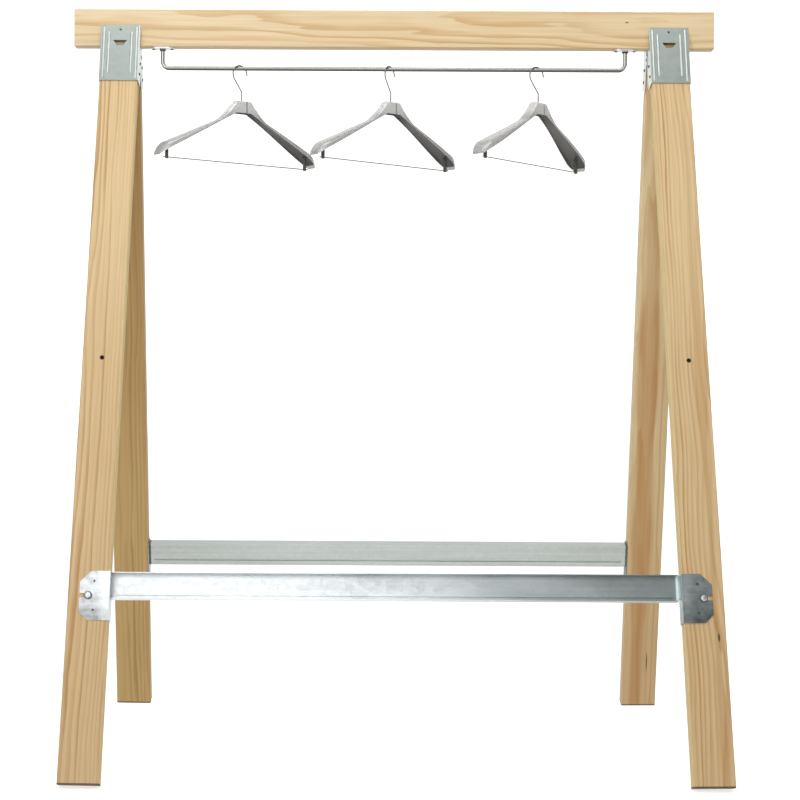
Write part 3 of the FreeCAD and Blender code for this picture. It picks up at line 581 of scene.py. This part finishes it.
def instancer():
    """A node tree that sets one model on every point, turned and sized by the point's own attributes."""
    tree = bpy.data.node_groups.new("set_on_points", "GeometryNodeTree")
    inputs = {"Points": "NodeSocketGeometry", "Model": "NodeSocketObject", "Finish": "NodeSocketMaterial"}
    for label, kind in inputs.items():
        tree.interface.new_socket(label, in_out="INPUT", socket_type=kind)
    tree.interface.new_socket("Result", in_out="OUTPUT", socket_type="NodeSocketGeometry")
    given = tree.nodes.new("NodeGroupInput")
    model = tree.nodes.new("GeometryNodeObjectInfo")
    turn = tree.nodes.new("FunctionNodeEulerToRotation")
    put = tree.nodes.new("GeometryNodeInstanceOnPoints")
    real = tree.nodes.new("GeometryNodeRealizeInstances")
    paint_all = tree.nodes.new("GeometryNodeSetMaterial")
    result = tree.nodes.new("NodeGroupOutput")
    link = tree.links.new
    link(given.outputs["Model"], model.inputs["Object"])
    link(named_vector(tree, "turn"), turn.inputs[0])
    link(given.outputs["Points"], put.inputs["Points"])
    link(model.outputs["Geometry"], put.inputs["Instance"])
    link(turn.outputs[0], put.inputs["Rotation"])
    link(named_vector(tree, "size"), put.inputs["Scale"])
    link(put.outputs[0], real.inputs[0])
    link(real.outputs[0], paint_all.inputs["Geometry"])
    link(given.outputs["Finish"], paint_all.inputs["Material"])
    link(paint_all.outputs[0], result.inputs[0])
    return tree


def scatter(name, model, places, finish):
    """One object with a copy of the model at every place. A place is a matrix and a size."""
    mesh = bpy.data.meshes.new(name)
    mesh.from_pydata([matrix.translation for matrix, size in places], [], [])
    columns = {
        "turn": [matrix.to_euler() for matrix, size in places],
        "size": [size for matrix, size in places],
    }
    for label, rows in columns.items():
        column = mesh.attributes.new(label, "FLOAT_VECTOR", "POINT")
        column.data.foreach_set("vector", [number for row in rows for number in row])
    piece = bpy.data.objects.new(name, mesh)
    bpy.context.scene.collection.objects.link(piece)
    modifier = piece.modifiers.new("set_on_points", "NODES")
    modifier.node_group = SET_ON_POINTS
    given = {"Model": model, "Finish": finish}
    for item in SET_ON_POINTS.interface.items_tree:
        if item.name in given:
            modifier[item.identifier] = given[item.name]
    bpy.context.view_layer.update()
    graph = bpy.context.evaluated_depsgraph_get()
    made = bpy.data.meshes.new_from_object(piece.evaluated_get(graph))
    piece.modifiers.clear()
    piece.data = made
    return piece


def settle(piece, body, slot, *nodes):
    """The piece moves with a body and stands for nodes, hiding their CAD parts. The slot is not used."""
    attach(piece, body)
    if nodes:
        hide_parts(*nodes)


SET_ON_POINTS = instancer()
WHOLE = (1, 1, 1)


# Fasteners

SCREW_RADIUS = 0.0020
SCREW_LENGTH = 0.020
SCREW_HEAD = 0.0038
SCREW_HEAD_HEIGHT = 0.0020
SCREW_SOCKET = 0.0017
SCREW_SIDES = 24
BOLT_RADIUS = 0.0040
BOLT_LENGTH = 0.026
BOLT_HEAD = 0.0065
BOLT_HEAD_HEIGHT = 0.0055
BOLT_DIMPLE = 0.0024
BOLT_SIDES = 48
WASHER_THICK = 0.0016
# Across and up from the hinge pin
SCREW_PLACES = ((-0.020, -0.026), (-0.027, -0.056))
FLANGE_SCREW_SPREAD = 0.044


def screw_profile():
    """A tapered shank and a low round head with a socket in it."""
    ease = 0.0002
    top = SCREW_HEAD_HEIGHT
    return (
        (SCREW_RADIUS * 0.75, -SCREW_LENGTH, 0),
        (SCREW_RADIUS, -SCREW_LENGTH * 0.9, 0),
        (SCREW_RADIUS, 0, 0),
        (SCREW_HEAD, 0, 0),
        (SCREW_HEAD - ease, top * 0.5, 0),
        (SCREW_HEAD - 5 * ease, top * 0.9, 0),
        (SCREW_SOCKET, top, 0),
        (SCREW_SOCKET - 0.0005, top * 0.45, 0.6),
    )


def bolt_profile():
    """A plain shank and a six-sided head with eased edges and a dimple."""
    ease = 0.0003
    top = BOLT_HEAD_HEIGHT
    return (
        (BOLT_RADIUS, -BOLT_LENGTH, 0),
        (BOLT_RADIUS, 0, 0),
        (BOLT_HEAD - ease, 0, 1),
        (BOLT_HEAD, ease, 1),
        (BOLT_HEAD, top - 0.0014, 1),
        (BOLT_HEAD - ease, top - 0.0004, 0.4),
        (BOLT_HEAD - 3 * ease, top, 0),
        (BOLT_DIMPLE, top, 0),
        (BOLT_DIMPLE - 2 * ease, top - 3 * ease, 0),
    )


def leg_screw_places(front):
    places = []
    for side in (-1, 1):
        for end in (-1, 1):
            for across, up in SCREW_PLACES:
                spot = Matrix.Translation((side * LEG_SPACING / 2 + end * BRACKET_HALF, across, up))
                places.append((stand(front) @ spot @ Matrix.Rotation(end * math.pi / 2, 4, "Y"), WHOLE))
    return places


def bolt_places(front):
    places = []
    for side in (-1, 1):
        x = side * (LEG_SPACING / 2 + BOLT_DOWN * math.sin(SPLAY))
        z = -BOLT_DOWN * math.cos(SPLAY) - LEG_TOP
        spot = Matrix.Translation((x, -LEG_OUTER - SHEET - WASHER_THICK, z))
        places.append((stand(front) @ spot @ Matrix.Rotation(math.pi / 2, 4, "X"), WHOLE))
    return places


def flange_screw_places():
    places = []
    for side in (-1, 1):
        for end in (-1, 1):
            x = side * ROD_SPAN / 2 + end * FLANGE_SCREW_SPREAD / 2
            spot = Matrix.Translation((x, 0, BEAM_LOW.z - FLANGE_THICK))
            places.append((spot @ Matrix.Rotation(math.pi, 4, "X"), WHOLE))
    return places


def add_fasteners():
    dark = metal("screw_dark", rgb(70, 66, 64), 0.42)
    zinc = metal("bolt_zinc", rgb(196, 199, 202), 0.24)
    screw = lathe("screw_model", screw_profile(), SCREW_SIDES)
    bolt = lathe("bolt_model", bolt_profile(), BOLT_SIDES)
    for word, front in FRAMES.items():
        screws = scatter(f"{word}_screws", screw, leg_screw_places(front), dark)
        settle(screws, f"{word}_frame", "screw_steel", f"{word}_leg_screws")
        bolts = scatter(f"{word}_bolts", bolt, bolt_places(front), zinc)
        settle(bolts, f"{word}_frame", "bolt_steel", f"{word}_rail_bolts")
    flange_screws = scatter("flange_screws", screw, flange_screw_places(), dark)
    settle(flange_screws, "top", "screw_steel", "rod_flange_screws")
    bpy.data.objects.remove(screw)
    bpy.data.objects.remove(bolt)


# Pressed ribs over the bracket plates

RIB_HALF = 0.003
RIB_HEIGHT = 0.0018
RIB_INSET = 0.008
RIB_PITCH = 0.012
RIB_TAPER = 0.05
RIB_TIP = 0.05
RIB_ROWS = 32
RIB_SIDES = 12


def rib_model():
    """A half-round ridge of unit length along Z, with rounded ends."""
    form = bmesh.new()
    rings = []
    for row in range(RIB_ROWS + 1):
        along = -math.cos(math.pi * row / RIB_ROWS)
        end = max(0.0, (abs(along) - 1 + RIB_TAPER) / RIB_TAPER)
        taper = max(RIB_TIP, math.sqrt(max(0.0, 1 - end * end)))
        ring = []
        for index in range(RIB_SIDES + 1):
            angle = math.pi * index / RIB_SIDES
            across = RIB_HALF * taper * math.cos(angle)
            ring.append(form.verts.new((across, -RIB_HEIGHT * taper * math.sin(angle), along / 2)))
        rings.append(ring)
    join_rings(form, rings)
    return as_object("rib_model", form, [], crease=60)


def rib_places(front):
    places = []
    for side in (-1, 1):
        for order in (0, 1):
            inset = RIB_INSET + order * RIB_PITCH
            length = PLATE_TOP + BRACKET_REACH - 2 * inset + 2 * RIB_HALF
            for end in (-1, 1):
                x = side * LEG_SPACING / 2 + end * (BRACKET_HALF - inset)
                spot = Matrix.Translation((x, -LEG_OUTER - SHEET, (PLATE_TOP - BRACKET_REACH) / 2))
                places.append((stand(front) @ spot, (1, 1, length)))
    return places


def add_ribs():
    # Paler zinc on the ribs, as painted highlight
    zinc = Zinc("rib_highlight_zinc", rgb(206, 213, 209), rgb(194, 200, 197)).spangled()
    model = rib_model()
    for word, front in FRAMES.items():
        ribs = scatter(f"{word}_bracket_ribs", model, rib_places(front), zinc)
        settle(ribs, f"{word}_frame", "galvanised")
    bpy.data.objects.remove(model)


# Hanger shells

def clamped(share):
    """A share kept between 0 and 1."""
    return min(1.0, max(0.0, share))


class Shell:
    """The moulded shell of a hanger, with the main sizes of the CAD's. A place on it is given by how far out
    it lies from the middle."""
    half = 0.222
    neck = 0.020
    neck_depth = 0.027
    neck_height = 0.029
    cavity = 0.007
    wall = 0.0022
    rise = 0.027
    rise_part = 0.223
    rise_curve = 1.3
    shoulder_slope = 0.455
    under_slope = 0.54
    under_drop = 0.018
    tip_part = 0.88
    tip_drop = 0.65
    tip_fall = 0.005
    tip_width = 0.052
    tip_narrowing = 0.45
    hollow_end = 0.2165
    bow_depth = 0.020
    bow_curve = 1.5
    neck_round = 0.3
    arm_round = 0.55
    hollow_round = 0.6
    neck_steps = 6
    arm_steps = 40

    def part(self, out):
        """0 at the side of the neck and 1 at the tip."""
        return (out - self.neck) / (self.half - self.neck)

    def tip_round(self, out):
        return max(0.0, (self.part(out) - self.tip_part) / (1 - self.tip_part)) ** 2

    def foot(self, out):
        line = max(self.neck_height, self.under_slope * out + self.under_drop)
        return -line - self.tip_fall * self.tip_round(out)

    def top(self, out):
        left = clamped(1 - self.part(out) / self.rise_part)
        slope = self.shoulder_slope * max(0.0, out - self.neck)
        line = self.rise * (left ** self.rise_curve - 1) - slope
        return line - self.tip_drop * self.tip_round(out) * (line - self.foot(out))

    def width(self, out):
        share = clamped(self.part(out) / self.tip_part)
        eased = share * share * (3 - 2 * share)
        wide = self.neck_depth + (self.tip_width - self.neck_depth) * eased
        return wide * (1 - self.tip_narrowing * self.tip_round(out))

    def bow(self, out):
        return self.bow_depth * max(0.0, self.part(out)) ** self.bow_curve

    def ceiling(self, out):
        """The top of the hollow: shallow by the neck, then one wall below the top of the arm."""
        deep = self.top(out) - self.wall - self.foot(out)
        share = clamped(self.part(out) / self.rise_part)
        return self.foot(out) + min(deep, self.cavity + (deep - self.cavity) * share)

    def roundness(self, out):
        """The neck has squarer edges than the arms."""
        share = clamped(self.part(out) / self.rise_part)
        return self.neck_round + (self.arm_round - self.neck_round) * share

    def stations(self):
        """Places along one arm, closer together by the neck and by the tip."""
        places = []
        for index in range(self.neck_steps + 1):
            places.append(self.neck * math.sin(math.pi / 2 * index / self.neck_steps))
        for index in range(1, self.arm_steps + 1):
            share = (1 - math.cos(math.pi * index / self.arm_steps)) / 2
            places.append(self.neck + (self.half - self.neck) * share)
        return places


ARCH_STEPS = 24


def arch(form, x, middle, width, top, foot, round_share):
    """A row of points over an arm, from its front foot to its rear foot."""
    points = []
    for index in range(ARCH_STEPS + 1):
        angle = math.pi * index / ARCH_STEPS
        across = math.copysign(abs(math.cos(angle)) ** round_share, math.cos(angle))
        up = math.sin(angle) ** round_share if 0 < index < ARCH_STEPS else 0.0
        points.append(form.verts.new((x, middle - across * width / 2, foot + (top - foot) * up)))
    return points


def strip(form, first, second, finish):
    """Faces between two open rows of points."""
    for index in range(len(first) - 1):
        face = form.faces.new((first[index], first[index + 1], second[index + 1], second[index]))
        face.material_index = finish


def shell_rows(form, shell):
    """The rows of points over the outside and, where the arm is hollow, over the inside."""
    outs = shell.stations()
    outer = []
    inner = []
    for x in [-out for out in reversed(outs[1:])] + outs:
        out = abs(x)
        foot = shell.foot(out)
        bow = shell.bow(out)
        width = shell.width(out)
        outer.append(arch(form, x, bow, width, shell.top(out), foot, shell.roundness(out)))
        hollow = None
        if out <= shell.hollow_end:
            inside = width - 2 * shell.wall
            hollow = arch(form, x, bow, inside, shell.ceiling(out), foot, shell.hollow_round)
        inner.append(hollow)
    return outer, inner


def shell_form(shell):
    """A closed form: the outside, the inside and the rim between them."""
    form = bmesh.new()
    outer, inner = shell_rows(form, shell)
    for index in range(len(outer) - 1):
        strip(form, outer[index], outer[index + 1], 0)
        near, far = inner[index], inner[index + 1]
        front = (outer[index][0], outer[index + 1][0])
        rear = (outer[index][-1], outer[index + 1][-1])
        if near and far:
            strip(form, near, far, 1)
            form.faces.new((front[0], near[0], far[0], front[1]))
            form.faces.new((rear[0], rear[1], far[-1], near[-1]))
        elif near:
            form.faces.new(near).material_index = 1
            form.faces.new((front[0], near[0], near[-1], rear[0], rear[1], front[1]))
        elif far:
            form.faces.new(far).material_index = 1
            form.faces.new((front[0], rear[0], rear[1], far[-1], far[0], front[1]))
        else:
            form.faces.new((front[0], rear[0], rear[1], front[1]))
    form.faces.new(outer[0])
    form.faces.new(outer[-1])
    return form


def add_hanger_shells():
    # Darker plastic inside the hollow arms, as painted shade
    inside = plastic("hanger_inside_shade", rgb(112, 110, 106), 0.5)
    for name in HANGERS:
        place = hanger_frame(name)
        silver = silvered(f"{name}_hanger_silver", place, rgb(192, 192, 191), rgb(230, 230, 228))
        form = shell_form(Shell())
        form.transform(place)
        shell = as_object(f"{name}_hanger_shell", form, [silver, inside], crease=45)
        settle(shell, f"{name}_shoulders", "hanger_plastic", f"{name}_hanger_body")


# Dressing the CAD nodes

RAIL_SLACK = 0.0003
END_NAIL_IN = 0.033
END_NAIL_ACROSS = BOARD_WIDTH / 2 + RAIL_SLACK - END_NAIL_IN
END_NAIL_OFFSET = 0.0315
PLATE_NAIL_UP = 0.054
# The painted shade behind a nail hole is wider than the hole, so that it fills it
NAIL_HOLE_SHADE = 0.006
COLLAR_GAP = 0.0008


def paint(node, material):
    mesh = frame["nodes"][node].data
    mesh.materials.clear()
    mesh.materials.append(material)


def nail_hole_shades(side):
    """Painted shade on a leg behind the two nail holes of a rail's end plate."""
    spots = []
    for end in (-1, 1):
        spots.append((-side * END_NAIL_ACROSS, end * END_NAIL_OFFSET - BOLT_DOWN, NAIL_HOLE_SHADE, NAIL_HOLE_SHADE))
    return spots


def beam_nail_hole_shades():
    """Painted shade on the beam behind the nail holes of the bracket plates."""
    spots = []
    for side in (-1, 1):
        hole = stand(True) @ Vector((side * LEG_SPACING / 2, -LEG_OUTER - SHEET, PLATE_NAIL_UP))
        spots.append((hole.z - BEAM_LEVEL, hole.x - BEAM_HIGH.x, NAIL_HOLE_SHADE, NAIL_HOLE_SHADE))
    return spots


def dress_beam():
    tones = (rgb(246, 222, 178), rgb(222, 180, 120), rgb(248, 224, 182))
    beam = Board("top_beam", beam_frame(), BEAM_LENGTH, seed=3.1, pitch=0.011, heart=(0.02, 0.075),
                 tilt=(0.012, 0.016), sway=0.05, tones=tones, contrast=0.8,
                 knots_and_hole_shades=beam_nail_hole_shades() + [(0.018, -0.208, 0.002, 0.005)])
    paint("top_beam", pine(beam))


def dress_front_legs():
    tones = (rgb(236, 208, 158), rgb(196, 150, 92), rgb(226, 194, 144))
    left = Board("front_left_leg", leg_frame(True, -1), LEG_LENGTH, seed=1.7, pitch=0.0065,
                 heart=(-0.085, 0.04), tilt=(0.012, 0.014), sway=0.036, tones=tones, contrast=0.95,
                 knots_and_hole_shades=nail_hole_shades(-1), lit_side=1)
    right = Board("front_right_leg", leg_frame(True, 1), LEG_LENGTH, seed=5.3, pitch=0.0065,
                  heart=(0.08, 0.04), tilt=(-0.014, 0.012), sway=0.036, tones=tones, contrast=0.95,
                  knots_and_hole_shades=nail_hole_shades(1) + [(0.028, -1.37, 0.003, 0.012)], streak=(0.024, 0.009, 0.45),
                  lit_side=-1)
    paint("front_left_leg", pine(left))
    paint("front_right_leg", pine(right))


def dress_rear_legs():
    # The rear left leg's tones are darker: darker wood with painted shade
    shaded = (rgb(206, 168, 108), rgb(168, 124, 66), rgb(226, 190, 124))
    warm = (rgb(255, 234, 184), rgb(212, 160, 100), rgb(238, 204, 150))
    left = Board("rear_left_leg", leg_frame(False, 1), LEG_LENGTH, seed=8.2, pitch=0.007,
                 heart=(0.05, -0.11), tilt=(0.004, 0.004), sway=0.02, tones=shaded, contrast=0.55)
    right = Board("rear_right_leg", leg_frame(False, -1), LEG_LENGTH, seed=11.4, pitch=0.016,
                  heart=(0.004, -0.07), tilt=(0.02, 0.03), sway=0.05, tones=warm, contrast=0.4,
                  knots_and_hole_shades=[(-0.017, -1.56, 0.0018, 0.035)], streak=(0.010, 0.025, 0.7))
    paint("rear_left_leg", pine(left))
    paint("rear_right_leg", pine(right))


def dress_brackets():
    plate = bracket_zinc()
    rivet = metal("rivet_zinc", rgb(166, 169, 172), 0.3)
    for side in ("left", "right"):
        for word in FRAMES:
            paint(f"{word}_{side}_bracket", plate)
        paint(f"{side}_hinge_rivets", rivet)


def dress_rails():
    # Painted light on the front rail, brightest at the left, and a painted highlight on its right fold
    front_zinc = rail_zinc("rail_zinc", rgb(226, 230, 232), rgb(140, 149, 149),
                           slope=0.75, left_fold_light=-0.15, right_fold_light=1.6)
    # Painted shade on the folds at both ends of the rear rail
    rear_zinc = rail_zinc("rear_rail_zinc", rgb(182, 188, 184), rgb(170, 176, 172),
                          slope=0.3, left_fold_light=-0.75, right_fold_light=-0.75)
    washer = metal("washer_steel", rgb(104, 106, 108), 0.34)
    paint("front_rail", front_zinc)
    paint("rear_rail", rear_zinc)
    for word in FRAMES:
        paint(f"{word}_rail_washers", washer)


def dress_rod():
    rod_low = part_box("hanging_rod")[0]
    rod = round_bar("rod_steel", rgb(176, 176, 172), rgb(66, 65, 63), rod_low.z + ROD_RADIUS, ROD_RADIUS)
    collar_top = BEAM_LOW.z - FLANGE_THICK - COLLAR_GAP
    flange = collared("flange_zinc", rgb(214, 214, 212), rgb(26, 24, 24), collar_top)
    paint("hanging_rod", rod)
    for side in ("left", "right"):
        paint(f"{side}_rod_flange", flange)


def dress_hangers():
    wire = metal("hook_chrome", rgb(124, 124, 122), 0.12, WIRE_LINES)
    bar = metal("bar_steel", rgb(160, 159, 157), 0.3, WIRE_LINES)
    post = plastic("dark_peg", rgb(92, 89, 86), 0.4)
    for name in HANGERS:
        paint(f"{name}_hanger_hook", wire)
        paint(f"{name}_hanger_posts", post)
        paint(f"{name}_hanger_bar", bar)


# Studio

STUDIO_REACH = 20
STUDIO_SHEET = 60
FLOOR_GLOW = 0.68
WALL_GLOW = 1.0
SKY_GLOW = 0.42


def glowing(name, strength):
    """Matt white that also glows, so that it stays white in a soft light."""
    looks = Looks(name)
    cloud = looks.noise(looks.place(Matrix()), 0.4, 2.0)
    tone = looks.mix(cloud, rgb(246, 246, 246), rgb(250, 250, 250))
    white = (1, 1, 1, 1)
    return looks.finish(Base_Color=tone, Roughness=0.9, Emission_Color=white, Emission_Strength=strength)


def add_sheet(name, place, turn, strength, mirrored=True):
    """A large white sheet that throws no light and no shadow on the matt faces of the rack."""
    bpy.ops.mesh.primitive_plane_add(size=STUDIO_SHEET, location=place, rotation=turn)
    sheet = bpy.context.object
    sheet.name = name
    sheet.data.materials.append(glowing(name + "_white", strength))
    sheet.visible_diffuse = False
    sheet.visible_shadow = False
    sheet.visible_glossy = mirrored


def add_studio():
    """A floor and a far wall, and three walls that only the camera sees."""
    upright = math.radians(90)
    far = STUDIO_REACH
    add_sheet("studio_floor", (0, 0, 0), (0, 0, 0), FLOOR_GLOW)
    add_sheet("far_wall", (0, far, 0), (upright, 0, 0), WALL_GLOW)
    add_sheet("near_wall", (0, -far, 0), (-upright, 0, 0), WALL_GLOW, mirrored=False)
    add_sheet("left_wall", (-far, 0, 0), (0, upright, 0), WALL_GLOW, mirrored=False)
    add_sheet("right_wall", (far, 0, 0), (0, -upright, 0), WALL_GLOW, mirrored=False)


def add_light(name, place, target, size, power):
    data = bpy.data.lights.new(name, "AREA")
    data.shape = "RECTANGLE"
    data.size = size[0]
    data.size_y = size[1]
    data.energy = power
    lamp = bpy.data.objects.new(name, data)
    bpy.context.scene.collection.objects.link(lamp)
    lamp.location = place
    lamp.rotation_euler = (Vector(target) - Vector(place)).to_track_quat("-Z", "Y").to_euler()


def add_lights():
    """A broad light from above and to the left of the camera, and one from overhead."""
    add_light("key", (-0.95, -3.6, 2.1), (-0.2, 0, 1.0), (3.2, 1.8), 37)
    add_light("overhead", (-0.3, -1.6, 4.2), (0, 0, 1.0), (3.2, 1.6), 50)


def add_world():
    world = bpy.data.worlds.new("studio")
    world.use_nodes = True
    back = world.node_tree.nodes["Background"]
    back.inputs["Color"].default_value = (1, 1, 1, 1)
    back.inputs["Strength"].default_value = SKY_GLOW
    bpy.context.scene.world = world


def add_camera():
    """The photograph's eye. The side, the focal length and the centre are in pixels of the picture."""
    side = 800
    focal = 1741.7
    centre = (350.1, 375.2)
    roll = math.radians(-0.3)
    data = bpy.data.cameras.new("eye")
    data.sensor_width = 36
    data.lens = focal * data.sensor_width / side
    data.shift_x = (side / 2 - centre[0]) / side
    data.shift_y = (centre[1] - side / 2) / side
    eye = bpy.data.objects.new("eye", data)
    bpy.context.scene.collection.objects.link(eye)
    eye.location = (-0.1009, -4.1678, 0.8755)
    eye.rotation_euler = (math.radians(90), roll, 0)
    bpy.context.scene.camera = eye


dress_beam()
dress_front_legs()
dress_rear_legs()
dress_brackets()
dress_rails()
dress_rod()
dress_hangers()
add_fasteners()
add_ribs()
add_hanger_shells()
add_studio()
add_world()
add_lights()
add_camera()
bpy.context.scene.view_settings.view_transform = "Standard"
